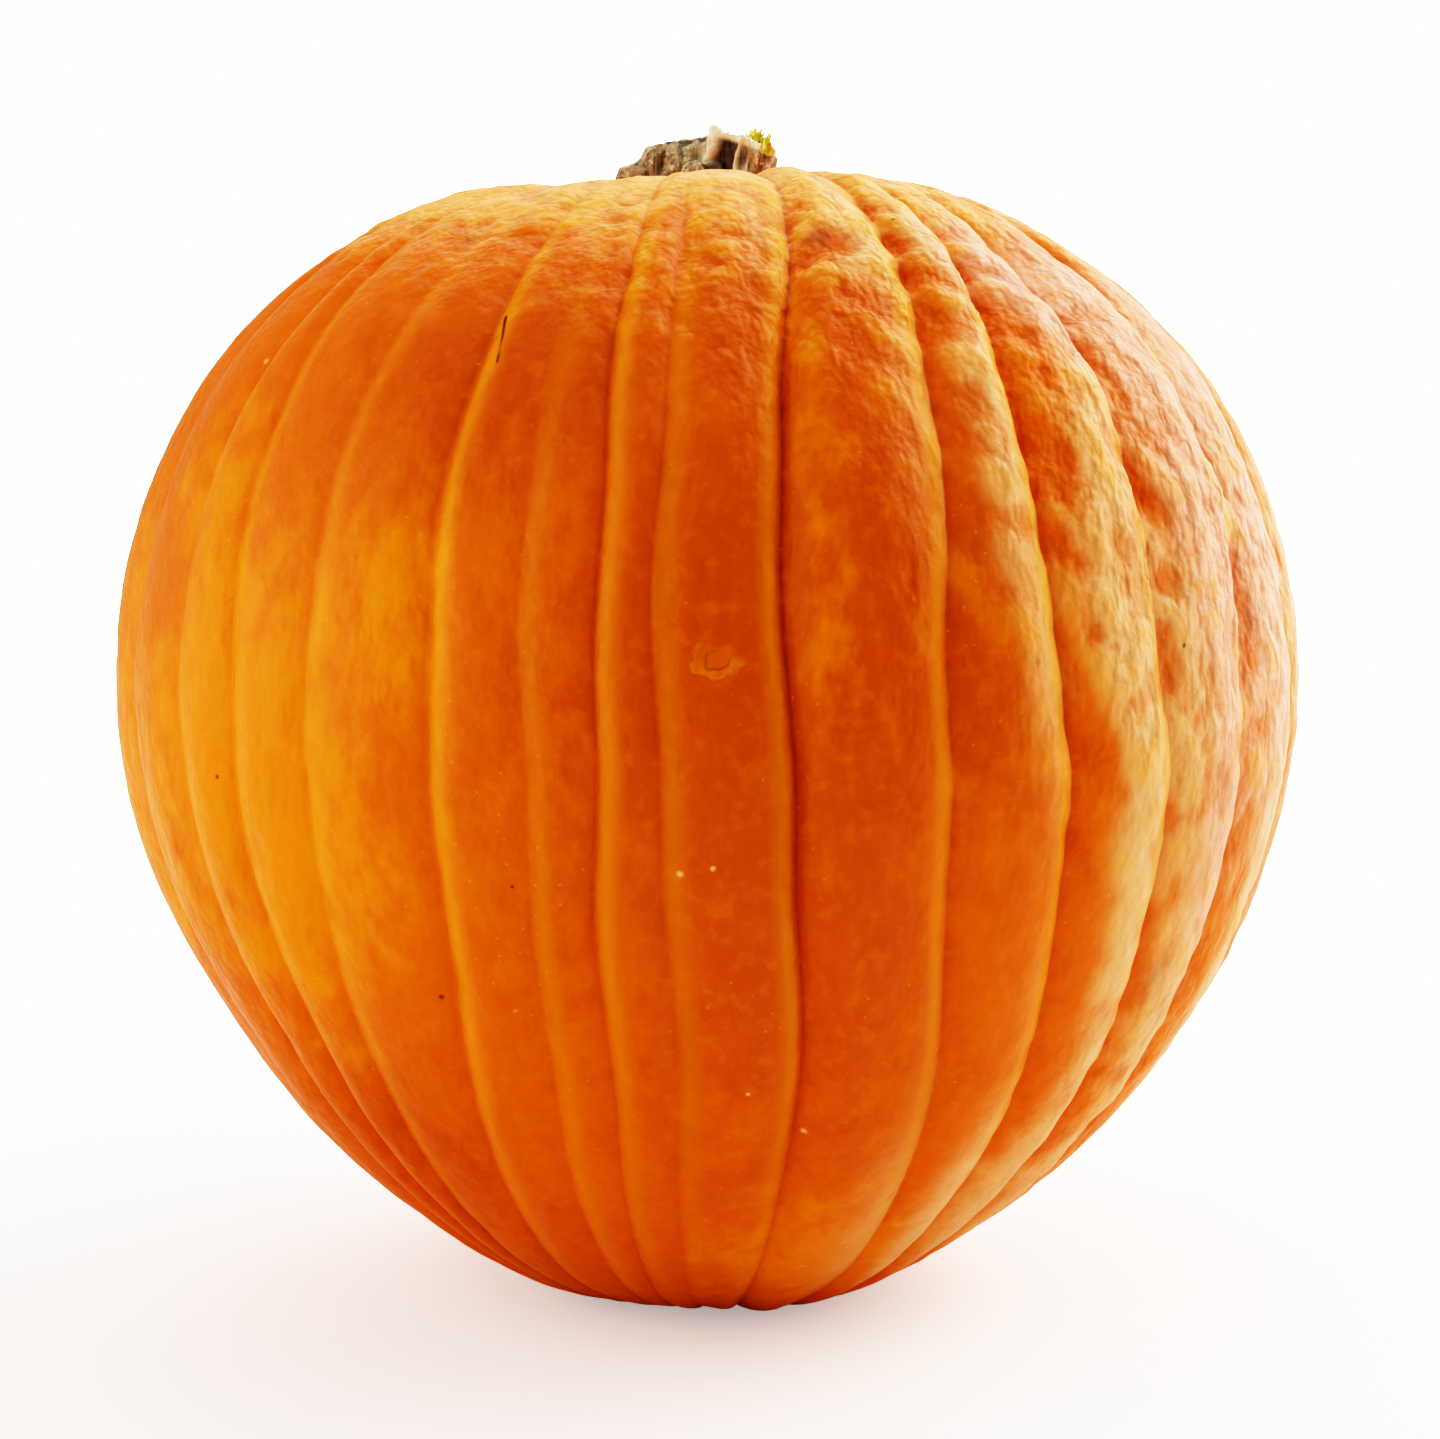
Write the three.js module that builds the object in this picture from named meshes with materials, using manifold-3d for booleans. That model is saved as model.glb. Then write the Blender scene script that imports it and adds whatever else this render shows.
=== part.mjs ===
// A ripe carving pumpkin: one ribbed fruit and its cut, woody stem.
// Millimetres, +Z up. The fruit stands on a flat spot at z = 0, centred on the origin.
// Azimuth 0 is the front (-Y) and grows towards +X. Latitude is 0 at the widest level and 90 at the crown.
import * as THREE from 'three';
import { mergeVertices } from 'three/addons/utils/BufferGeometryUtils.js';
import Module from 'manifold-3d';

// Driving dimensions of the fruit's bare form, before its ribs
const FRUIT_RADIUS = 151.4;
const EQUATOR_HEIGHT = 154.5; // widest level above the surface that the fruit stands on
const CROWN_RISE = 139; // from the widest level to the crown, without its hollow
const BASE_DROP = 163; // from the widest level to the lowest point, before the flat spot
const CROWN_FULLNESS = 2.17; // 2 is an ellipse, more is squarer
const BASE_FULLNESS = 1.77;
const HOLLOW = { depth: 20, width: 36 }; // the hollow that the stem stands in
const BLOSSOM_END = { depth: 8, width: 28 }; // the dimple underneath

// How the fruit stands off a true turned form
const LEAN_BACK = 2.6; // degrees
const LEAN_LEFT = 1.3;
const CROWN_SLOPE = { x: -0.012, y: 0.025 }; // the crown falls to the right and rises to the back
const BELLY = { latitude: -32, reach: 16, shift: 1.6 }; // the lower belly bulges to the right
const FOOT = { from: 45, to: 75, shift: -1.2 }; // and the foot lies to the left again

// The ribs, between creases
const ROUNDING = 1.3; // how far a rib's middle stands above its edges, for each millimetre of crease
const ROUNDING_CURVE = 2.3;
const CREASE_WIDTH = 4; // half width of a crease beside a rib of the plain width
const CREASE_CURVE = 1.25; // 1 is a plain V, 2 a round trough
const PLAIN_RIB_WIDTH = 28;
const NARROWEST_CREASE = 0.35; // share of the crease's width on the narrowest ribs
const LIP = { away: 7.5, width: 3.5 }; // a low welt beside a crease
const SWELL = { height: 0.5, change: 4.1 }; // some ribs stand a little prouder than their neighbours
const SHOULDER = { gain: 0.15, latitude: 48, reach: 28 }; // ribs are this share deeper on the shoulder
const DRIFT_LATITUDE = 60; // where a crease's drift is stated
const DRIFT_LIMIT = 66; // it drifts no further past this latitude
const DRIFT_CURVE = 1.5;
const BOW = { latitude: 30, reach: 24 }; // where a crease bows most
const WANDER = { degrees: 0.35, waves: 5, change: 37 };
const FINE_WANDER = { degrees: 0.25, waves: 13, change: 61 };
const DEPTH_CHANGE = { from: 8, to: 48 }; // latitudes between the middle depth and that high up or low down
const CALM = { from: 46, to: 70, crown: 0.55, base: 0.4 }; // creases grow shallower towards both ends
const RIBS_FADE = { gone: 16, full: 34 }; // distance from the axis over which the ribs die out

// The creases seen from the front, left to right: degrees round the widest level, sideways drift in degrees
// high up and low down, bow in degrees, depth in millimetres high up, at the middle and low down, the lip
// to the right of it, and how sharp the line is
const FRONT_CREASES = [
  { at: -67.5, up: -3, down: 3, bow: 0, high: 1.2, mid: 1.4, low: 1.5, lip: 0.2, sharp: 0.25 },
  { at: -55.5, up: 0, down: 1, bow: 0, high: 1.2, mid: 1.3, low: 1.5, lip: 0.1, sharp: 0.2 },
  { at: -46.6, up: -3, down: -2, bow: 0, high: 0.8, mid: 1.7, low: 1.5, lip: 0.2, sharp: 0.15 },
  { at: -36.7, up: 3.5, down: -7.5, bow: 0, high: 0.6, mid: 1.3, low: 1.3, lip: 0.1, sharp: 0.1 },
  { at: -23.8, up: 1, down: -9.5, bow: 0, high: 1.6, mid: 2.1, low: 1.4, lip: 0.2, sharp: 0.25 },
  { at: -15.3, up: 1, down: -6, bow: 0, high: 0.3, mid: 0.9, low: 1.2, lip: 0, sharp: 0.15 },
  { at: -9.3, up: 1.3, down: -5.3, bow: 0, high: 1.2, mid: 1.6, low: 1, lip: 0.1, sharp: 0.3 },
  { at: -4.1, up: 2, down: -2.2, bow: 0, high: 1, mid: 1.2, low: 0.7, lip: 0.2, sharp: 0.3 },
  { at: 7.9, up: 7.5, down: -0.5, bow: -3, high: 1.9, mid: 3, low: 1.3, lip: 0.5, sharp: 0.8 },
  { at: 20.4, up: 9.2, down: 6.5, bow: -0.6, high: 1.7, mid: 2, low: 1.2, lip: -0.2, sharp: 0.35 },
  { at: 32.1, up: 8.3, down: 6.6, bow: -2.7, high: 2.6, mid: 2.3, low: 1.5, lip: -0.3, sharp: 0.4 },
  { at: 44.3, up: 10, down: 5, bow: -1.8, high: 2.4, mid: 2.1, low: 1.5, lip: -0.3, sharp: 0.4 },
  { at: 57.6, up: 12, down: 3, bow: 0, high: 2.1, mid: 2.1, low: 1.6, lip: -0.2, sharp: 0.4 },
  { at: 73, up: 6, down: 2, bow: 0, high: 2.2, mid: 2.2, low: 2, lip: -0.2, sharp: 0.45 },
];

// The far side carries on at an even, slightly wandering pitch
const BACK_CREASES = {
  count: 17,
  place: (index) => 1.6 * Math.sin(2.3 * index),
  up: (index) => 3 * Math.sin(1.7 * index),
  down: (index) => 3 * Math.sin(1.1 * index + 2),
  bow: (index) => 1.5 * Math.sin(3.1 * index),
  deep: (index) => 2 + 0.5 * Math.sin(2.9 * index),
  lip: (index) => 0.3 * Math.sin(1.3 * index),
  highShare: 1.1,
  lowShare: 0.85,
  sharp: 0.45,
};

// Broad swellings and hollows: degrees round, latitude, half width and half height in degrees, millimetres
const SWELLINGS = [
  { at: 8, latitude: 67, wide: 28, high: 10, by: 1.3 },
  { at: -15, latitude: 62, wide: 9, high: 10, by: -2.2 },
  { at: -48, latitude: 68, wide: 20, high: 8, by: -2.6 },
  { at: 52, latitude: 50, wide: 11, high: 10, by: -4 },
  { at: -34, latitude: 56, wide: 9, high: 9, by: -1.5 },
  { at: 40, latitude: -6, wide: 12, high: 14, by: 1.2 },
  { at: 150, latitude: 30, wide: 26, high: 24, by: -2.5 },
  { at: 215, latitude: -20, wide: 30, high: 26, by: 1.5 },
];

// The stem: a short fluted stub, and the broad ridge of its foot that runs down to the left
const STEM = {
  foot: { x: 3, y: 2 },
  top: { x: 8.8, y: 0 },
  height: 296.4, // middle of the cut, above the surface that the fruit stands on
  cutSlope: 0.32, // the cut falls to the right
  neck: 7.3, // radius below the cut
  rim: 0.5, // how much wider it is again at the cut
  flare: 14, // how much wider the foot is
  flareCurve: 2.6,
  flutes: 5,
  fluteDepth: 1.1,
  footFlutes: 3, // how much deeper they are at the foot
  fineFlutes: 0.35,
};
const STEM_SINK = 268; // the stub is made down to this height, then fitted to the hollow
const STEM_RINGS = 13;
const STEM_SIDES = 30;
const RIDGE_PATH = [
  new THREE.Vector3(4, 1, 286.5),
  new THREE.Vector3(-4, 2, 287.6),
  new THREE.Vector3(-10, 3, 285.8),
  new THREE.Vector3(-17, 4, 280.6),
  new THREE.Vector3(-24, 5, 273.6),
  new THREE.Vector3(-29, 6, 267),
];
const RIDGE = { rootWidth: 6.8, tipWidth: 6, height: 9.5, lobes: 3, lobeDepth: 0.12 }; // half widths
const RIDGE_SIDES = 12;
const RIDGE_RINGS = 10;
const CUT_DIP = 1; // the cut is a little hollow in the middle
const STEM_GAP = 0.4; // clearance between the stem's foot and the hollow

// The grid that the fruit is made on: rows by latitude, and columns by their share of a rib
const LOW_ROWS = 27; // from the base to the shoulder
const HIGH_ROWS = 9; // from the shoulder into the hollow
const ROW_SPLIT = 58;
const RIB_COLUMNS = [0, 0.16, 0.5, 0.84];
const NORMAL_STEP = 0.5; // degrees of latitude
const WELD = 1e-4;

const rad = THREE.MathUtils.degToRad;
const { clamp, lerp, smoothstep, euclideanModulo } = THREE.MathUtils;
const bell = (distance, width) => Math.exp(-((distance / width) ** 2));

// All creases in order, closing the circle
function makeCreases() {
  const first = FRONT_CREASES[0].at + 360;
  const last = FRONT_CREASES[FRONT_CREASES.length - 1].at;
  const pitch = (first - last) / (BACK_CREASES.count + 1);
  const back = Array.from({ length: BACK_CREASES.count }, (unused, index) => {
    const deep = BACK_CREASES.deep(index);
    return {
      at: last + pitch * (index + 1) + BACK_CREASES.place(index),
      up: BACK_CREASES.up(index),
      down: BACK_CREASES.down(index),
      bow: BACK_CREASES.bow(index),
      high: BACK_CREASES.highShare * deep,
      mid: deep,
      low: BACK_CREASES.lowShare * deep,
      lip: BACK_CREASES.lip(index),
      sharp: BACK_CREASES.sharp,
    };
  });
  return [...FRONT_CREASES, ...back];
}

const CREASES = makeCreases();

// Where a crease lies at a latitude, in degrees round the fruit
function creaseAzimuth(crease, latitude) {
  const share = Math.min(Math.abs(latitude), DRIFT_LIMIT) / DRIFT_LATITUDE;
  const drift = (latitude > 0 ? crease.up : crease.down) * share ** DRIFT_CURVE;
  const bowed = crease.bow * bell(latitude - BOW.latitude, BOW.reach);
  const wander = [WANDER, FINE_WANDER].reduce((sum, wave) => (
    sum + wave.degrees * Math.sin(rad(wave.waves * latitude + wave.change * crease.at))
  ), 0);
  return crease.at + drift + bowed + wander * bell(latitude, DRIFT_LATITUDE);
}

// How deep a crease is at a latitude, in millimetres
function creaseDepth(crease, latitude) {
  const share = smoothstep(Math.abs(latitude), DEPTH_CHANGE.from, DEPTH_CHANGE.to);
  const calm = (latitude > 0 ? CALM.crown : CALM.base) * smoothstep(Math.abs(latitude), CALM.from, CALM.to);
  return lerp(crease.mid, latitude > 0 ? crease.high : crease.low, share) * (1 - calm);
}

// The bare form's distance from the axis and height above the widest level
function bareForm(latitude) {
  const sine = Math.sin(rad(latitude));
  const cosine = Math.abs(Math.cos(rad(latitude)));
  const upper = latitude > 0;
  const power = 2 / (upper ? CROWN_FULLNESS : BASE_FULLNESS);
  const radius = FRUIT_RADIUS * cosine ** power;
  const rise = (upper ? CROWN_RISE : BASE_DROP) * Math.sign(sine) * Math.abs(sine) ** power;
  const dimple = upper ? -HOLLOW.depth * bell(radius, HOLLOW.width)
    : BLOSSOM_END.depth * bell(radius, BLOSSOM_END.width);
  return new THREE.Vector2(radius, rise + dimple);
}

// The outward direction of the bare form in its own half plane
function bareNormal(latitude) {
  const above = bareForm(Math.min(latitude + NORMAL_STEP, 90));
  const below = bareForm(Math.max(latitude - NORMAL_STEP, -90));
  return new THREE.Vector2(above.y - below.y, below.x - above.x).normalize();
}

// The narrow line of a crease and the lip beside it, at a distance from it in millimetres
function creaseLine(depth, sharp, distance, narrow) {
  return depth * sharp * Math.exp(-((distance / narrow) ** CREASE_CURVE));
}

function creaseLip(lip, distance) {
  return lip * bell(distance - LIP.away, LIP.width);
}

// How far the skin stands off the bare form, at a share of the way across the rib between two creases
function relief(left, right, share, latitude, azimuth, radius) {
  const width = radius * rad(creaseAzimuth(right, latitude) - creaseAzimuth(left, latitude));
  const narrow = CREASE_WIDTH * clamp(width / PLAIN_RIB_WIDTH, NARROWEST_CREASE, 1);
  const leftDepth = creaseDepth(left, latitude);
  const rightDepth = creaseDepth(right, latitude);
  const lines = creaseLine(leftDepth, left.sharp, share * width, narrow)
    + creaseLine(rightDepth, right.sharp, (1 - share) * width, narrow);
  const lips = creaseLip(left.lip, share * width) - creaseLip(right.lip, (1 - share) * width);
  const rounding = ROUNDING * lerp(leftDepth, rightDepth, share) * Math.abs(2 * share - 1) ** ROUNDING_CURVE;
  const gain = 1 + SHOULDER.gain * bell(latitude - SHOULDER.latitude, SHOULDER.reach);
  const swell = SWELL.height * Math.sin(rad(SWELL.change * left.at)) * Math.sin(Math.PI * share);
  const ribs = (swell - lines - rounding + lips) * gain * smoothstep(radius, RIBS_FADE.gone, RIBS_FADE.full);
  const broad = SWELLINGS.reduce((sum, form) => {
    const turn = euclideanModulo(azimuth - form.at + 180, 360) - 180;
    return sum + form.by * bell(turn, form.wide) * bell(latitude - form.latitude, form.high);
  }, 0);
  return ribs + broad;
}

// A point of the skin, grown outwards by a clearance, where the fruit stands
function skinPoint(ribIndex, share, latitude, grow) {
  const left = CREASES[ribIndex];
  const next = CREASES[(ribIndex + 1) % CREASES.length];
  const right = ribIndex + 1 < CREASES.length ? next : { ...next, at: next.at + 360 };
  const azimuth = lerp(creaseAzimuth(left, latitude), creaseAzimuth(right, latitude), share);
  const form = bareForm(latitude);
  const offset = relief(left, right, share, latitude, azimuth, form.x) + grow;
  form.addScaledVector(bareNormal(latitude), offset);
  return placeOnFoot(form, latitude, azimuth);
}

// From distance, height and azimuth to the leaning fruit on its flat spot
function placeOnFoot(form, latitude, azimuth) {
  const point = new THREE.Vector3(form.x * Math.sin(rad(azimuth)), -form.x * Math.cos(rad(azimuth)), form.y);
  if (latitude > 0) {
    point.z += Math.sin(rad(latitude)) ** 2 * (CROWN_SLOPE.x * point.x + CROWN_SLOPE.y * point.y);
  } else {
    point.x += BELLY.shift * bell(latitude - BELLY.latitude, BELLY.reach);
    point.x += FOOT.shift * smoothstep(-latitude, FOOT.from, FOOT.to);
  }
  point.applyAxisAngle(new THREE.Vector3(1, 0, 0), -rad(LEAN_BACK));
  point.applyAxisAngle(new THREE.Vector3(0, 1, 0), -rad(LEAN_LEFT));
  point.z = Math.max(point.z + EQUATOR_HEIGHT, 0);
  return point;
}

// A closed skin from rings of equal length, with a point at each end
function closedSkin(rings, lowPoint, highPoint) {
  const sides = rings[0].length;
  const points = [lowPoint, ...rings.flat(), highPoint];
  const faces = [];
  const at = (ring, side) => 1 + ring * sides + (side % sides);
  for (let side = 0; side < sides; side += 1) {
    faces.push(0, at(0, side + 1), at(0, side));
    faces.push(points.length - 1, at(rings.length - 1, side), at(rings.length - 1, side + 1));
    for (let ring = 0; ring + 1 < rings.length; ring += 1) {
      faces.push(at(ring, side), at(ring, side + 1), at(ring + 1, side + 1));
      faces.push(at(ring, side), at(ring + 1, side + 1), at(ring + 1, side));
    }
  }
  const geometry = new THREE.BufferGeometry().setFromPoints(points);
  geometry.setIndex(faces);
  return geometry;
}

// Latitudes of the rows, evenly spaced below the split and closer above it
function rowLatitudes() {
  const spread = (from, to, rows) =>
    Array.from({ length: rows }, (unused, row) => lerp(from, to, (row + 1) / rows));
  const low = spread(-90, ROW_SPLIT, LOW_ROWS);
  const high = spread(ROW_SPLIT, 90, HIGH_ROWS);
  return [...low, ...high.slice(0, -1)];
}

function fruitGeometry(grow) {
  const rings = rowLatitudes().map((latitude) => CREASES.flatMap((crease, rib) =>
    RIB_COLUMNS.map((share) => skinPoint(rib, share, latitude, grow))));
  return closedSkin(rings, skinPoint(0, 0, -90, grow), skinPoint(0, 0, 90, grow));
}

// How far the stub's wall stands off its axis, at a share of its height and a turn round it
function stubRadius(share, turn) {
  const spread = STEM.neck + STEM.flare * (1 - share) ** STEM.flareCurve + STEM.rim * share ** 6;
  const deep = STEM.fluteDepth * (1 + STEM.footFlutes * (1 - share) ** 2);
  const fine = STEM.fineFlutes * Math.cos(2 * STEM.flutes * turn + 1);
  return spread + deep * Math.cos(STEM.flutes * turn + 0.6 * share) + fine;
}

// The fluted stub, widening to five toes at its foot
function stubGeometry() {
  const rings = Array.from({ length: STEM_RINGS }, (unused, ring) => {
    const share = ring / (STEM_RINGS - 1);
    const height = lerp(STEM_SINK, STEM.height, share);
    return Array.from({ length: STEM_SIDES }, (none, side) => {
      const turn = (2 * Math.PI * side) / STEM_SIDES;
      const radius = stubRadius(share, turn);
      return new THREE.Vector3(
        lerp(STEM.foot.x, STEM.top.x, share) + radius * Math.cos(turn),
        lerp(STEM.foot.y, STEM.top.y, share) + radius * Math.sin(turn),
        height - STEM.cutSlope * radius * Math.cos(turn) * share ** 4,
      );
    });
  });
  const low = new THREE.Vector3(STEM.foot.x, STEM.foot.y, STEM_SINK);
  const high = new THREE.Vector3(STEM.top.x, STEM.top.y, STEM.height - CUT_DIP);
  return closedSkin(rings, low, high);
}

// The ridge that leaves the stub near its top and runs down into the hollow
function ridgeGeometry() {
  const path = new THREE.CatmullRomCurve3(RIDGE_PATH);
  const across = new THREE.Vector3(0, 1, 0);
  const rings = Array.from({ length: RIDGE_RINGS }, (unused, ring) => {
    const share = ring / (RIDGE_RINGS - 1);
    const centre = path.getPointAt(share);
    const up = path.getTangentAt(share).clone().cross(across).normalize();
    const width = lerp(RIDGE.rootWidth, RIDGE.tipWidth, share);
    return Array.from({ length: RIDGE_SIDES }, (none, side) => {
      const turn = (2 * Math.PI * side) / RIDGE_SIDES;
      const rough = 1 + RIDGE.lobeDepth * Math.cos(RIDGE.lobes * turn + 2 * share);
      return centre.clone()
        .addScaledVector(across, width * rough * Math.cos(turn))
        .addScaledVector(up, RIDGE.height * rough * Math.sin(turn));
    });
  });
  return closedSkin(rings, path.getPointAt(0), path.getPointAt(1));
}

const wasm = await Module();
wasm.setup();

function solidFrom(geometry) {
  geometry.deleteAttribute('normal');
  geometry.deleteAttribute('uv');
  const merged = mergeVertices(geometry, WELD);
  const vertProperties = Float32Array.from(merged.attributes.position.array);
  const triVerts = Uint32Array.from(merged.index.array);
  return new wasm.Manifold(new wasm.Mesh({ numProp: 3, vertProperties, triVerts }));
}

function geometryFrom(solid) {
  const { vertProperties, triVerts } = solid.getMesh();
  const geometry = new THREE.BufferGeometry();
  geometry.setAttribute('position', new THREE.BufferAttribute(vertProperties, 3));
  geometry.setIndex(new THREE.BufferAttribute(triVerts, 1));
  return geometry;
}

function namedMesh(name, geometry, finish) {
  geometry.computeVertexNormals();
  const mesh = new THREE.Mesh(geometry, new THREE.MeshStandardMaterial(finish));
  mesh.name = name;
  return mesh;
}

function makeFruit() {
  return namedMesh('fruit', fruitGeometry(0), { color: 0xd9660c, roughness: 0.4, metalness: 0 });
}

// The stub and its ridge, joined, with the hollow's form cut from their foot
function makeStem() {
  const hollow = solidFrom(fruitGeometry(STEM_GAP));
  const wood = solidFrom(stubGeometry()).add(solidFrom(ridgeGeometry())).subtract(hollow);
  return namedMesh('stem', geometryFrom(wood), { color: 0x4a3a22, roughness: 0.85, metalness: 0 });
}

const pumpkin = new THREE.Group();
pumpkin.name = 'pumpkin';
pumpkin.add(makeFruit(), makeStem());

export default pumpkin;
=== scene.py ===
import math

import bmesh
import bpy
import numpy as np
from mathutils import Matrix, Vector, noise


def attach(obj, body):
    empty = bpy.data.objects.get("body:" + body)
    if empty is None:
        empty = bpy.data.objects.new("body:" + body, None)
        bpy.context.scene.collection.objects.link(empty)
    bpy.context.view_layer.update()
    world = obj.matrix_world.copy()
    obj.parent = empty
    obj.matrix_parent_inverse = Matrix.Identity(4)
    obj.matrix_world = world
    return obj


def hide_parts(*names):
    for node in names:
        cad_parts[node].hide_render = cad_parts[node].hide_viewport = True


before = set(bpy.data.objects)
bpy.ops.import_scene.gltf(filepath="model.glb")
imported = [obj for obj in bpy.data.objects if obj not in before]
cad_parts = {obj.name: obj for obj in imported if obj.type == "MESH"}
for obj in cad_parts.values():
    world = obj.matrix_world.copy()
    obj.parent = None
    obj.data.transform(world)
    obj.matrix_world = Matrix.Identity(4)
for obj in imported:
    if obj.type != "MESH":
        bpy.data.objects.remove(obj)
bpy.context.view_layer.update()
mm = 0.001

# the fruit's bare form and how it stands, in millimetres and degrees, as the solid has them
fruitForm = {
    "radius": 151.4,
    "equatorHeight": 154.5,  # widest level above the floor
    "crownRise": 139.0,
    "baseDrop": 163.0,
    "crownFullness": 2.17,
    "baseFullness": 1.77,
    "hollow": (20.0, 36.0),  # depth and width of the hollow round the stem
    "blossomEnd": (8.0, 28.0),
    "leanBack": 2.6,
    "leanLeft": 1.3,
    "crownSlope": (-0.012, 0.025),
    "bellyShift": 1.6,  # to the right, round the belly
    "belly": (-32.0, 16.0),  # its latitude and how far it reaches
    "footShift": -1.2,  # and back, low down
    "foot": (45.0, 75.0),  # degrees below the equator over which it grows
}

ribForm = {
    "rounding": 1.3,  # how far a rib's middle stands above its edges, for each millimetre of crease
    "roundingCurve": 2.3,
    "backSharpness": 0.45,
    "creaseWidth": 4.0,
    "creaseCurve": 1.25,  # 1 is a plain V, 2 a round trough
    "shoulderGain": 0.15,
    "shoulderLatitude": 48.0,
    "shoulderReach": 28.0,
    "driftLatitude": 60.0,
    "driftLimit": 66.0,
    "bow": (30.0, 24.0),  # latitude where a crease bows most, and how far that reaches
    "fade": (16.0, 34.0),
    "calm": (46.0, 70.0),  # latitudes over which creases grow shallower towards both ends
    "calmCrown": 0.55,
    "calmBase": 0.4,
    "aside": (8.0, 48.0),  # latitudes over which the depth turns into the one high up or low down
    "fullWidth": 28.0,  # a rib narrower than this has narrower creases
    "narrowest": 0.35,
    "uneven": (0.5, 38.0),  # how much a crease's depth wanders, and over what length
    "cut": 0.2,  # width of a crease's sharp line, as a share of the crease
    "lip": (7.5, 3.5),  # distance of a lip from its crease, and its width
    "swell": (0.5, 4.1),  # height by which ribs differ, and how quickly that turns from rib to rib
    "wander": [(0.35, 5.0, 37.0), (0.25, 13.0, 61.0)],  # a crease's waves: degrees, turn along and across
    "paintedLightRight": (2.6, 2.2),  # distance of a rib's painted-light edge from its crease, and width, on the right half
    "paintedLightLeft": (2.8, 2.4),
}

# creases from the front, left to right: place, drift high up, drift low down and bow in degrees,
# depth high up, at the middle and low down and the lip to the right of it in millimetres, then
# how sharp the line is
frontCreases = [
    (-67.5, -3.0, 3.0, 0.0, 1.2, 1.4, 1.5, 0.2, 0.25),
    (-55.5, 0.0, 1.0, 0.0, 1.2, 1.3, 1.5, 0.1, 0.2),
    (-46.6, -3.0, -2.0, 0.0, 0.8, 1.7, 1.5, 0.2, 0.15),
    (-36.7, 3.5, -7.5, 0.0, 0.6, 1.3, 1.3, 0.1, 0.1),
    (-23.8, 1.0, -9.5, 0.0, 1.6, 2.1, 1.4, 0.2, 0.25),
    (-15.3, 1.0, -6.0, 0.0, 0.3, 0.9, 1.2, 0.0, 0.15),
    (-9.3, 1.3, -5.3, 0.0, 1.2, 1.6, 1.0, 0.1, 0.3),
    (-4.1, 2.0, -2.2, 0.0, 1.0, 1.2, 0.7, 0.2, 0.3),
    (7.9, 7.5, -0.5, -3.0, 1.9, 3.0, 1.3, 0.5, 0.8),
    (20.4, 9.2, 6.5, -0.6, 1.7, 2.0, 1.2, -0.2, 0.35),
    (32.1, 8.3, 6.6, -2.7, 2.6, 2.3, 1.5, -0.3, 0.4),
    (44.3, 10.0, 5.0, -1.8, 2.4, 2.1, 1.5, -0.3, 0.4),
    (57.6, 12.0, 3.0, 0.0, 2.1, 2.1, 1.6, -0.2, 0.4),
    (73.0, 6.0, 2.0, 0.0, 2.2, 2.2, 2.0, -0.2, 0.45),
]
backCreaseCount = 17

# broad swellings and hollows: degrees round, latitude, half width and half height in degrees, millimetres
swellings = [
    (8.0, 67.0, 28.0, 10.0, 1.3),
    (-15.0, 62.0, 9.0, 10.0, -2.2),
    (-48.0, 68.0, 20.0, 8.0, -2.6),
    (52.0, 50.0, 11.0, 10.0, -4.0),
    (-34.0, 56.0, 9.0, 9.0, -1.5),
    (40.0, -6.0, 12.0, 14.0, 1.2),
    (150.0, 30.0, 26.0, 24.0, -2.5),
    (215.0, -20.0, 30.0, 26.0, 1.5),
]

# small knobs, dents and wrinkles of the skin, in the same order
smallMarks = [
    (1.5, 2.5, 1.6, 1.2, 0.7),
    (-4.0, 13.0, 0.5, 5.0, 0.5),
    (-1.6, 16.2, 0.9, 1.6, 0.6),
    (-0.6, 13.4, 0.9, 1.8, 0.6),
    (14.1, -5.6, 4.5, 0.9, -0.4),
    (35.4, -35.4, 1.2, 1.2, -0.7),
    (-24.2, -23.1, 1.6, 1.8, -0.9),
    (-21.5, 38.8, 0.9, 3.6, -0.9),
    (36.6, -13.0, 0.8, 2.2, -0.5),
    (42.5, -10.3, 1.2, 1.4, -0.7),
    (52.5, -15.0, 1.1, 1.3, 0.9),
    (72.0, -14.0, 1.2, 1.5, 0.8),
]

# grey-pink smudges of the skin: degrees round, latitude, half width and half height in degrees
smudges = [
    (48.5, -25.2, 1.6, 1.4),
    (58.0, -29.0, 1.8, 1.3),
    (52.5, -28.5, 1.1, 1.4),
    (6.8, 53.0, 1.6, 0.9),
    (16.8, 52.5, 1.5, 0.9),
    (-35.5, 54.2, 1.4, 1.2),
    (61.0, 8.0, 1.5, 2.4),
    (44.0, 43.0, 3.0, 4.0),
]

skinGrid = {
    "ribColumns": 16,
    "gather": 0.55,  # how far the columns gather towards the creases
    "rows": 196,
}

# relief of the skin in millimetres
skinRelief = {
    "folds": 1.7,
    "foldSize": 6.5,
    "dimples": 1.6,
    "dimpleSize": 11.0,
    "lumps": 1.6,
    "lumpSize": 4.6,
    "swell": 0.6,
    "swellSize": 45.0,
}

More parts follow.
